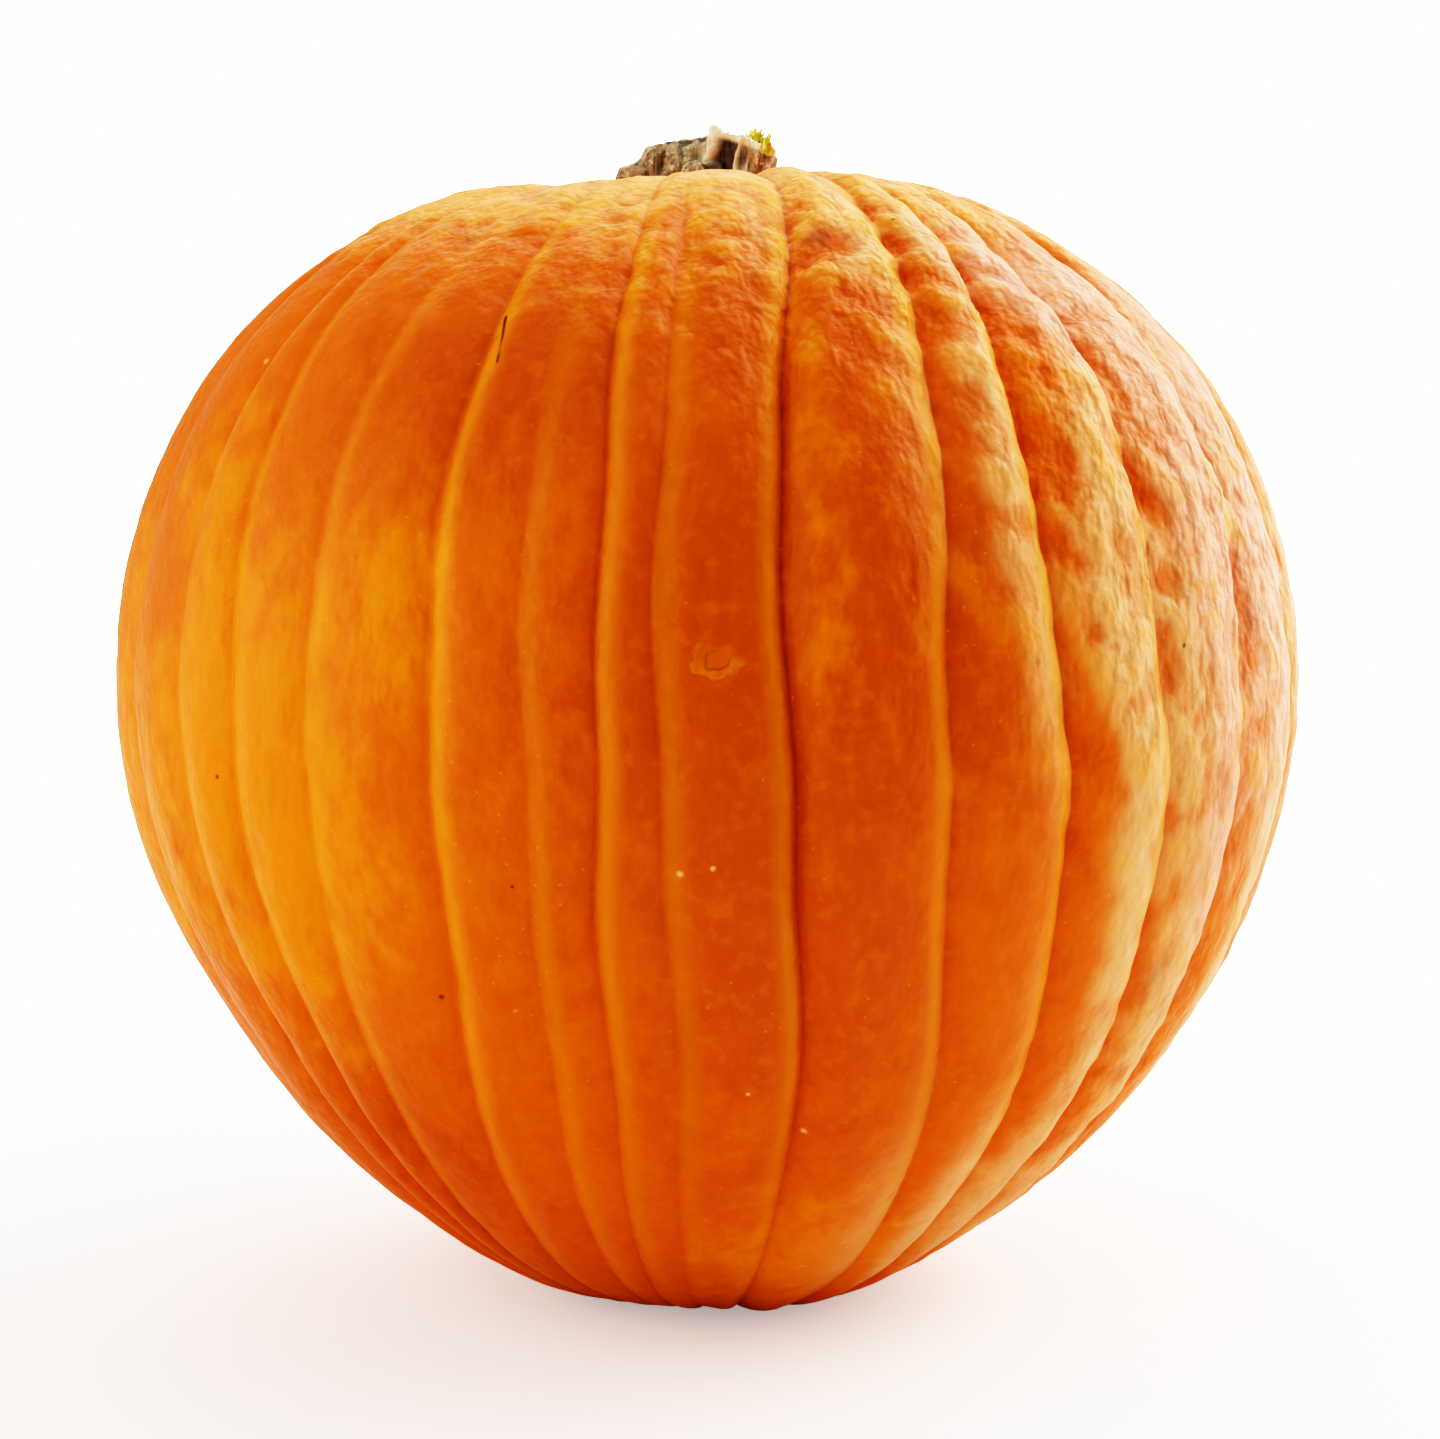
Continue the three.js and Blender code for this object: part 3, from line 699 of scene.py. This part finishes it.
def rindFinish():
    rind = Finish("waxyRind")
    place = rind.place()
    masks = {name: rind.mask(name) for name in ribMasks + patchColours}
    fromMiddle = rind.vector("SUBTRACT", place, (0.0, 0.0, fruitForm["equatorHeight"] * mm))
    aim = rind.vector("NORMALIZE", fromMiddle)
    fine = rind.cloud(place, 260.0, 2.0)
    colour, mottle, blotch = rindZones(rind, place, masks)
    # painted light: the rib walls that face the side lamps are paler, patchily
    colour = rind.mix(masks["edge"] * (0.2 + 0.6 * blotch), colour, rindLook["edge"])
    # painted shade in the crease valleys
    colour = rind.mix(masks["valley"] * 0.1, colour, rindLook["deep"])
    # painted shade along the sharp creases
    colour = rind.mix(masks["crease"] * 0.7, colour, rindLook["crease"])
    colour = rind.mix(fine.step(0.5, 0.75) * 0.2, colour, rindLook["goldAndPaintedLight"])

    # scattered pale specks, finer than the marks that have a place of their own
    spacing = {"Vector": place, "Scale": 320.0}
    cells = rind.node("ShaderNodeTexVoronoi", {"feature": "F1"}, spacing, "Distance")
    sparse = mottle.step(0.5, 0.6)
    specks = (1.0 - cells.step(0.05, 0.15)) * sparse
    colour = rind.mix(specks * 0.3, colour, rindLook["speck"])

    leather = rind.cloud(place, 240.0, 2.0, 0.5)
    ring, ringMiddle = ringScarMask(rind, aim, leather)
    speck = spotsOfKind(rind, aim, "speck")
    pit = spotsOfKind(rind, aim, "pit")
    scratch = linesOfKind(rind, aim, "scratch")
    slitShade = linesOfKind(rind, aim, "slitShade")
    broken = fine.step(0.36, 0.54)
    colour = rind.mix(speck * broken, colour, rindLook["scar"])
    colour = rind.mix(ring * (0.15 + 0.3 * broken), colour, rindLook["lit"])
    colour = rind.mix(ringMiddle * 0.25, colour, rindLook["goldAndPaintedLight"])
    colour = rind.mix(scratch * broken * 0.35, colour, rindLook["bruise"])
    colour = rind.mix(masks["bruise"] * mottle.step(0.3, 0.6) * 0.55, colour, rindLook["bruise"])
    # the small pits are darkened with the slit's near-black
    colour = rind.mix(pit * 0.7, colour, rindLook["slitShade"])
    # painted shade in the deep slit
    colour = rind.mix(slitShade * (0.4 + 0.5 * broken), colour, rindLook["slitShade"])

    wrinkles = rind.cloud(rind.stretched(place, (1.3, 1.0, 0.6), (0.0, -0.5, 0.3)), 130.0, 2.0, 0.55)
    relief = leather * (0.3 + 0.8 * masks["leathery"]) + wrinkles * (0.4 + 2.8 * masks["leathery"])
    relief = relief + ring * 0.6
    roughness = rindLook["roughness"] + 0.14 * (mottle - 0.5) + 0.12 * (fine - 0.5) + 0.1 * masks["leathery"]
    rind.set(Base_Color=colour, Roughness=roughness, Normal=rind.bump(relief, *rindLook["bump"]))
    rind.set(IOR=1.45, Specular_IOR_Level=rindLook["specular"])
    return rind.material


# stem, in millimetres, as the solid has it
stemForm = {
    "foot": (3.0, 2.0),
    "top": (8.8, 0.0),
    "height": 296.4,
    "cutSlope": 0.32,
    "neck": 7.3,
    "flare": 14.0,
    "flutes": 5,
    "fluteDepth": 1.1,
    "sink": 268.0,  # where the stub is made from
    "lowest": 273.6,  # just under the skin of the hollow
    "cutDip": 1.8,
    "rings": 60,
    "sides": 120,
    "voxel": 0.34,
}

# arms of the stem's foot: points of the middle line, half width across and half height
stemArms = [
    (
        [
            (4, 1, 286.5),
            (-4, 2, 287.6),
            (-10, 3, 285.8),
            (-17, 4, 280.6),
            (-24, 5, 273.6),
            (-29, 6, 267),
        ],
        6.4,
        9.5,
    ),
    ([(4, -3, 285.0), (-2, -5.5, 284.6), (-7, -7.5, 281.5), (-12, -9, 276)], 4.6, 5.2),
    ([(9, 2, 281.0), (15, 4, 279.0), (21, 6, 274)], 5.0, 4.5),
]
armGrid = {"rings": 24, "sides": 40}

# pale ridges up the stub: degrees round it from the front, half width in degrees, height and paleness
paleRidges = [
    (-58.0, 9.0, 0.9, 1.0),
    (-3.0, 4.5, 0.9, 0.9),
    (13.0, 3.5, 0.6, 0.5),
    (69.0, 4.5, 0.7, 0.6),
    (120.0, 5.0, 0.8, 0.7),
    (165.0, 6.0, 0.8, 0.9),
    (215.0, 4.5, 0.8, 0.6),
    (262.0, 6.0, 0.8, 0.8),
]


def buildStubForm():
    sides, rings = stemForm["sides"], stemForm["rings"]
    share = np.linspace(0.0, 1.0, rings)[:, None]
    turn = (2 * np.pi * np.arange(sides) / sides)[None, :]
    spread = stemForm["neck"] + stemForm["flare"] * (1 - share) ** 2.6 + 0.5 * share ** 6
    fluteDepth = stemForm["fluteDepth"] * (1 + 3 * (1 - share) ** 2)
    flute = fluteDepth * np.cos(stemForm["flutes"] * turn + 0.6 * share)
    radius = spread + flute
    footX, footY = stemForm["foot"]
    topX, topY = stemForm["top"]
    x = footX + (topX - footX) * share + radius * np.cos(turn)
    y = footY + (topY - footY) * share + radius * np.sin(turn)
    rise = stemForm["sink"] + (stemForm["height"] - stemForm["sink"]) * share
    z = rise - stemForm["cutSlope"] * radius * np.cos(turn) * share ** 4
    wall = np.stack([x, y, z], -1)
    # the cut face sinks a little inside its rim
    rim = wall[-1]
    middle = rim.mean(axis=0)
    dip = np.array([0.0, 0.0, -stemForm["cutDip"]])
    inner = [middle + (rim - middle) * (1 - drop * 0.5) + dip * drop for drop in (0.35, 0.75, 1.0)]
    points = np.concatenate([wall, np.array(inner)])
    low = np.array([footX, footY, stemForm["sink"]])
    return closedSkin("stemWood", points, low, middle + dip)


def alongPath(path, count):
    # evenly shared points of a smooth curve through the path's points
    path = np.array(path, float)
    knots = np.arange(len(path))
    ends = np.concatenate([[2 * path[0] - path[1]], path, [2 * path[-1] - path[-2]]])
    at = np.linspace(0, len(path) - 1 - 1e-6, count)
    index = np.clip(at.astype(int), 0, len(path) - 2)
    t = (at - knots[index])[:, None]
    a, b, c, d = (ends[index + step] for step in range(4))
    square = 2 * a - 5 * b + 4 * c - d
    cube = 3 * b - a - 3 * c + d
    return 0.5 * (2 * b + (c - a) * t + square * t ** 2 + cube * t ** 3)


def buildArmForm(path, halfWidth, halfHeight):
    rings, sides = armGrid["rings"], armGrid["sides"]
    middle = alongPath(path, rings)
    across = np.array([0.0, 1.0, 0.0])
    tangent = np.gradient(middle, axis=0)
    up = np.cross(tangent, across)
    up = up / np.linalg.norm(up, axis=1)[:, None]
    turn = 2 * np.pi * np.arange(sides) / sides
    share = np.linspace(0, 1, rings)[:, None]
    rough = 1 + 0.12 * np.cos(3 * turn[None, :] + 2 * share)
    points = middle[:, None, :] + across * (halfWidth * rough * np.cos(turn)[None, :])[..., None]
    points = points + up[:, None, :] * (halfHeight * rough * np.sin(turn)[None, :])[..., None]
    return closedSkin("stemArm", points, middle[0], middle[-1])


def meshPoints(mesh, what="co"):
    values = np.empty(len(mesh.vertices) * 3, np.float32)
    source = mesh.vertices if what == "co" else mesh.vertex_normals
    source.foreach_get("co" if what == "co" else "vector", values)
    return values.reshape(-1, 3).astype(float)


def stemRidgeAt(points):
    # height and paleness of the stub's ridges, and how far a point lies inside the stub's rim
    share = (points[:, 2] - stemForm["sink"]) / (stemForm["height"] - stemForm["sink"])
    footX, footY = stemForm["foot"]
    topX, topY = stemForm["top"]
    x = points[:, 0] - (footX + (topX - footX) * share)
    y = points[:, 1] - (footY + (topY - footY) * share)
    turn = np.degrees(np.arctan2(x, -y))
    out = np.hypot(x, y)
    height, pale = np.zeros(len(points)), np.zeros(len(points))
    for at, wide, by, paleness in paleRidges:
        wander = at + 3.0 * np.sin(0.5 * points[:, 2] + at)
        near = bell((turn - wander + 180.0) % 360.0 - 180.0, wide)
        height, pale = height + by * near, np.maximum(pale, paleness * near)
    onStub = smoothStep(-out, -12.5, -9.5)
    return height * onStub, pale * onStub, out


def applyModifiers(piece):
    graph = bpy.context.evaluated_depsgraph_get()
    made = bpy.data.meshes.new_from_object(piece.evaluated_get(graph))
    old = piece.data
    piece.modifiers.clear()
    piece.data = made
    bpy.data.meshes.remove(old)


def buildStem():
    wood = buildStubForm()
    parts = [wood] + [buildArmForm(*arm) for arm in stemArms]
    with bpy.context.temp_override(active_object=wood, selected_editable_objects=parts):
        bpy.ops.object.join()
    remesh = wood.modifiers.new("oneSkin", "REMESH")
    remesh.mode = "VOXEL"
    remesh.voxel_size = stemForm["voxel"]
    applyModifiers(wood)
    mesh = wood.data
    points, normals = meshPoints(mesh), meshPoints(mesh, "normal")
    height, pale, out = stemRidgeAt(points)
    upward = normals[:, 2]
    rim = stemForm["height"] - stemForm["cutSlope"] * (points[:, 0] - stemForm["top"][0])
    belowRim = rim - points[:, 2]
    cut = smoothStep(-belowRim, -2.6, -1.2) * smoothStep(-out, -11.0, -9.0)
    bark = softNoise(points, 2.6, 5, (1.0, 1.0, 0.28))
    knots = softNoise(points, 5.5, 6)
    pitted = softNoise(points, 1.3, 7, (1.0, 1.0, 0.5))
    arm = 1.0 - smoothStep(points[:, 0], -3.0, 2.0)
    rough = 0.9 * bark + (0.6 + 1.1 * arm) * knots + 0.45 * pitted
    points = points + normals * (height + rough * (1.0 - 0.6 * cut))[:, None]
    points[:, 2] = np.maximum(points[:, 2], stemForm["lowest"])
    mesh.vertices.foreach_set("co", (points * mm).ravel().astype(np.float32))
    mesh.polygons.foreach_set("use_smooth", [True] * len(mesh.polygons))
    for name, values in {"pale": pale, "cut": cut, "arm": arm, "bark": 0.5 + bark + 0.5 * knots}.items():
        paintMask(wood, name, values, ())
    mesh.update()
    return wood


# frayed fibres on the cut: each cluster's middle, spread, count, length and width, and how fresh it is
stemFibres = [
    {"at": (5.0, -3.0), "spread": (3.0, 2.0), "count": 14, "length": 2.0, "width": 0.9, "fresh": 0.15},
    {"at": (8.0, -1.5), "spread": (3.6, 2.5), "count": 26, "length": 3.6, "width": 1.0, "fresh": 0.2},
    {"at": (12.8, -1.0), "spread": (2.8, 3.4), "count": 22, "length": 6.0, "width": 3.0, "fresh": 1.0},
]


def buildFibres():
    # each fibre is a flat, bent sliver that stands on the cut
    draw = np.random.default_rng(11)
    vertices, faces, fresh = [], [], []
    for cluster in stemFibres:
        for index in range(cluster["count"]):
            x = cluster["at"][0] + cluster["spread"][0] * draw.uniform(-1, 1)
            y = cluster["at"][1] + cluster["spread"][1] * draw.uniform(-1, 1)
            cutHeight = stemForm["height"] - stemForm["cutSlope"] * (x - stemForm["top"][0])
            foot = cutHeight - stemForm["cutDip"] - 0.6
            length = cluster["length"] * draw.uniform(0.5, 1.0)
            turn, lean = draw.uniform(0, 2 * np.pi), draw.uniform(-0.5, 0.6)
            wide = cluster["width"] * draw.uniform(0.5, 1.0)
            side = np.array([math.cos(turn), math.sin(turn), 0.0])
            face = np.array([-math.sin(turn), math.cos(turn), 0.0])
            steps = 6
            base = len(vertices)
            for step in range(steps + 1):
                rise = step / steps
                middle = np.array([x, y, foot]) + np.array([0.0, 0.0, 1.0]) * length * rise
                middle = middle + face * lean * length * rise ** 2 + side * 0.3 * lean * length * rise
                half = 0.5 * wide * (1.0 - 0.75 * rise ** 2) * (1.0 + 0.25 * math.sin(9 * rise + 5 * index))
                thick = 0.16 * (1.0 - 0.5 * rise)
                for across, through in ((-half, -thick), (half, -thick), (half, thick), (-half, thick)):
                    vertices.append(middle + side * across + face * through)
                fresh.extend([cluster["fresh"] * draw.uniform(0.7, 1.0)] * 4)
            for step in range(steps):
                low = base + 4 * step
                for corner in range(4):
                    after = (corner + 1) % 4
                    faces.append((low + corner, low + after, low + 4 + after, low + 4 + corner))
            faces.append((base + 3, base + 2, base + 1, base))
            top = base + 4 * steps
            faces.append((top, top + 1, top + 2, top + 3))
    mesh = bpy.data.meshes.new("stemFibres")
    mesh.from_pydata([tuple(vertex * mm) for vertex in vertices], [], faces)
    piece = bpy.data.objects.new("stemFibres", mesh)
    bpy.context.scene.collection.objects.link(piece)
    paintMask(piece, "fresh", np.array(fresh), ())
    return piece


fibreLook = {
    "dry": (0.93, 0.87, 0.66),
    "fresh": (0.78, 0.68, 0.14),
    "green": (0.5, 0.47, 0.04),
}


def fibreFinish():
    fibre = Finish("frayedStemFibre")
    place = fibre.place()
    fresh = fibre.mask("fresh")
    tone = fibre.cloud(place, 700.0, 2.0)
    colour = fibre.mix(fresh, fibreLook["dry"], fibreLook["fresh"])
    colour = fibre.mix(tone.step(0.45, 0.6) * fresh * 0.8, colour, fibreLook["green"])
    fibre.set(Base_Color=colour, Roughness=0.6 + 0.2 * tone, Normal=fibre.bump(tone, 0.0003, 0.5))
    return fibre.material


barkLook = {
    "dark": (0.17, 0.125, 0.08),
    "brown": (0.46, 0.37, 0.24),
    "blotch": (0.62, 0.5, 0.33),
    # painted shade for the bark's low places
    "cleftShade": (0.04, 0.03, 0.018),
    "fleck": (0.85, 0.74, 0.48),
    "ridge": (0.93, 0.84, 0.62),
    "cut": (0.95, 0.9, 0.68),
}


def barkFinish():
    bark = Finish("driedStemBark")
    place = bark.place()
    pale, cut, arm, raised = (bark.mask(name) for name in ("pale", "cut", "arm", "bark"))
    along = bark.stretched(place, (1.0, 1.0, 0.16))
    streak = bark.cloud(along, 520.0, 4.0, 0.65)
    blotch = bark.cloud(place, 260.0, 4.0, 0.6)
    flecks = bark.cloud(place, 620.0, 3.0, 0.6)
    colour = bark.mix(streak.step(0.36, 0.6), barkLook["dark"], barkLook["brown"])
    colour = bark.mix(blotch.step(0.42, 0.6) * (0.3 + 0.6 * arm), colour, barkLook["blotch"])
    # painted shade in the low places of the bark relief
    colour = bark.mix((1.0 - raised.step(0.0, 0.4)) * 0.6, colour, barkLook["cleftShade"])
    scattered = flecks.step(0.52, 0.64) * raised.step(0.35, 0.85)
    colour = bark.mix(scattered * 0.85, colour, barkLook["fleck"])
    colour = bark.mix(pale * streak.step(0.22, 0.42), colour, barkLook["ridge"])
    colour = bark.mix(cut, colour, barkLook["cut"])
    relief = streak + 0.6 * flecks
    bark.set(Base_Color=colour, Roughness=0.85 - 0.1 * streak, Normal=bark.bump(relief, 0.0012, 0.8))
    return bark.material


floorLook = {
    "radius": 9.0,
    "paper": (0.93, 0.925, 0.92),
    "glow": (1.2, 12.0),  # lifts the paper to white where the camera sees it, near the fruit and far off
    "glowReach": (0.22, 0.6),
}


def makeFloor():
    mesh = bpy.data.meshes.new("floor")
    shape = bmesh.new()
    bmesh.ops.create_circle(shape, cap_ends=True, segments=96, radius=floorLook["radius"])
    shape.to_mesh(mesh)
    shape.free()
    floor = bpy.data.objects.new("floor", mesh)
    bpy.context.scene.collection.objects.link(floor)
    paper = Finish("whitePaper")
    seen = paper.node("ShaderNodeLightPath", None, None, "Is Camera Ray")
    paper.set(Base_Color=floorLook["paper"], Roughness=1.0, Specular_IOR_Level=0.0)
    near, far = floorLook["glow"]
    away = paper.vector("LENGTH", paper.place(), None, "Value").step(*floorLook["glowReach"])
    bright = near / far + (1.0 - near / far) * away
    glow = paper.mix(seen * bright, (0.0, 0.0, 0.0), (1.0, 1.0, 1.0))
    paper.set(Emission_Color=glow, Emission_Strength=far)
    paper.material.cycles.emission_sampling = "NONE"  # the glow lights nothing
    floor.data.materials.append(paper.material)
    return floor


# square white panels round the fruit, two or three to a stack: azimuth from the front, then brightness
panelSize = 1.1
panelDistance = 2.2
panelLevels = (8.0, 38.0)
panelStacks = [
    (-165.0, 1.26, 4.04),
    (-135.0, 1.09, 0.35),
    (-105.0, 3.79, 0.82),
    (-75.0, 7.4, 3.8),
    (-45.0, 3.3, 2.6),
    (-15.0, 0.62, 1.42),
    (45.0, 0.0, 0.33),
    (75.0, 2.94, 4.13),
    (105.0, 8.37, 10.09),
    (135.0, 8.7, 12.14),
    (165.0, 2.97, 5.54),
]
topLevel = 68.0
topPanels = [
    (0.0, 1.3),
    (90.0, 4.7),
    (180.0, 7.4),
    (-90.0, 1.37),
]


def makePanel(azimuth, elevation, brightness):
    data = bpy.data.lights.new("panel", "AREA")
    data.shape = "SQUARE"
    data.size = panelSize
    data.energy = brightness * math.pi * panelSize ** 2
    data.cycles.use_multiple_importance_sampling = False  # soft light on a dull skin needs none
    lamp = bpy.data.objects.new("panel", data)
    bpy.context.scene.collection.objects.link(lamp)
    target = Vector((0.0, 0.0, fruitForm["equatorHeight"] * mm))
    turn, rise = math.radians(azimuth), math.radians(elevation)
    aside = Vector((math.sin(turn) * math.cos(rise), -math.cos(turn) * math.cos(rise), math.sin(rise)))
    lamp.location = target + aside * panelDistance
    lamp.rotation_euler = aside.to_track_quat("Z", "Y").to_euler()
    return lamp


worldLook = {
    "room": 1.2,  # light from the room all round
    "backdrop": 12.0,  # what the camera sees past the fruit
}


def makeWorld():
    world = bpy.data.worlds.new("studio")
    bpy.context.scene.world = world
    world.use_nodes = True
    world.cycles.sampling_method = "NONE"  # an even room needs no sampling of its own
    nodes, links = world.node_tree.nodes, world.node_tree.links
    room = nodes["Background"]
    room.inputs["Color"].default_value = (1.0, 1.0, 1.0, 1.0)
    room.inputs["Strength"].default_value = worldLook["room"]
    backdrop = nodes.new("ShaderNodeBackground")
    backdrop.inputs["Color"].default_value = (1.0, 1.0, 1.0, 1.0)
    backdrop.inputs["Strength"].default_value = worldLook["backdrop"]
    path = nodes.new("ShaderNodeLightPath")
    mixer = nodes.new("ShaderNodeMixShader")
    links.new(path.outputs["Is Camera Ray"], mixer.inputs[0])
    links.new(room.outputs[0], mixer.inputs[1])
    links.new(backdrop.outputs[0], mixer.inputs[2])
    links.new(mixer.outputs[0], nodes["World Output"].inputs["Surface"])


view = {
    "photoWidth": 1440.0,
    "photoHeight": 1439.0,
    "elevation": 7.0,
    "distance": 0.78,
    "pixelsPerMetre": 3835.0,
    "centre": (708.5, 691.0),  # where the fruit's middle lies in the photo
    "contrast": 3.0,  # of the tone curve, which rolls off softly to white
    "white": 6.0,
    "tonePoints": (0.02, 0.05, 0.1, 0.17, 0.26, 0.4, 0.6, 0.8),
}


def makeCamera():
    data = bpy.data.cameras.new("photoView")
    camera = bpy.data.objects.new("photoView", data)
    bpy.context.scene.collection.objects.link(camera)
    bpy.context.scene.camera = camera
    data.sensor_width = 36.0
    focalPixels = view["pixelsPerMetre"] * view["distance"]
    data.lens = focalPixels / view["photoWidth"] * data.sensor_width
    rise = math.radians(view["elevation"])
    back = Vector((0.0, -math.cos(rise), math.sin(rise)))
    target = Vector((0.0, 0.0, fruitForm["equatorHeight"] * mm))
    camera.location = target + back * view["distance"]
    camera.rotation_euler = back.to_track_quat("Z", "Y").to_euler()
    centreX, centreY = view["centre"]
    data.shift_x = (view["photoWidth"] / 2 - centreX) / view["photoWidth"]
    data.shift_y = (centreY - view["photoHeight"] / 2) / view["photoWidth"]
    data.clip_end = 60.0


def toneCurve(share):
    return (1.0 - math.exp(-view["white"] * share)) ** view["contrast"]


def makeTone():
    # the photo's own contrast, as a curve from scene light to picture
    colours = bpy.context.scene.view_settings
    colours.view_transform = "Standard"
    colours.look = "None"
    colours.use_curve_mapping = True
    tone = colours.curve_mapping
    tone.white_level = [view["white"]] * 3
    tone.extend = "HORIZONTAL"
    curve = tone.curves[3]
    for share in view["tonePoints"]:
        curve.points.new(share, toneCurve(share))
    curve.points[0].location = (0.0, 0.0)
    curve.points[-1].location = (1.0, 1.0)
    tone.update()


makeCamera()
makeWorld()
makeFloor()
makeTone()
for azimuth, *stack in panelStacks:
    for level, brightness in zip(panelLevels, stack):
        makePanel(azimuth, level, brightness)
for azimuth, brightness in topPanels:
    makePanel(azimuth, topLevel, brightness)
print("studio ready")

points, lowPoint, highPoint, masks = buildFruitSkin()
fruitSkin = closedSkin("fruitSkin", points, lowPoint, highPoint)
for maskName, values in masks.items():
    paintMask(fruitSkin, maskName, values)
fruitSkin.data.materials.append(rindFinish())
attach(fruitSkin, "root")
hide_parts("fruit")
print("fruit skin:", len(fruitSkin.data.polygons), "faces")

stemWood = buildStem()
stemWood.data.materials.append(barkFinish())
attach(stemWood, "root")
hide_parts("stem")
fibres = buildFibres()
fibres.data.materials.append(fibreFinish())
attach(fibres, "root")
print("stem:", len(stemWood.data.polygons), "faces and", len(fibres.data.polygons), "of fibres")
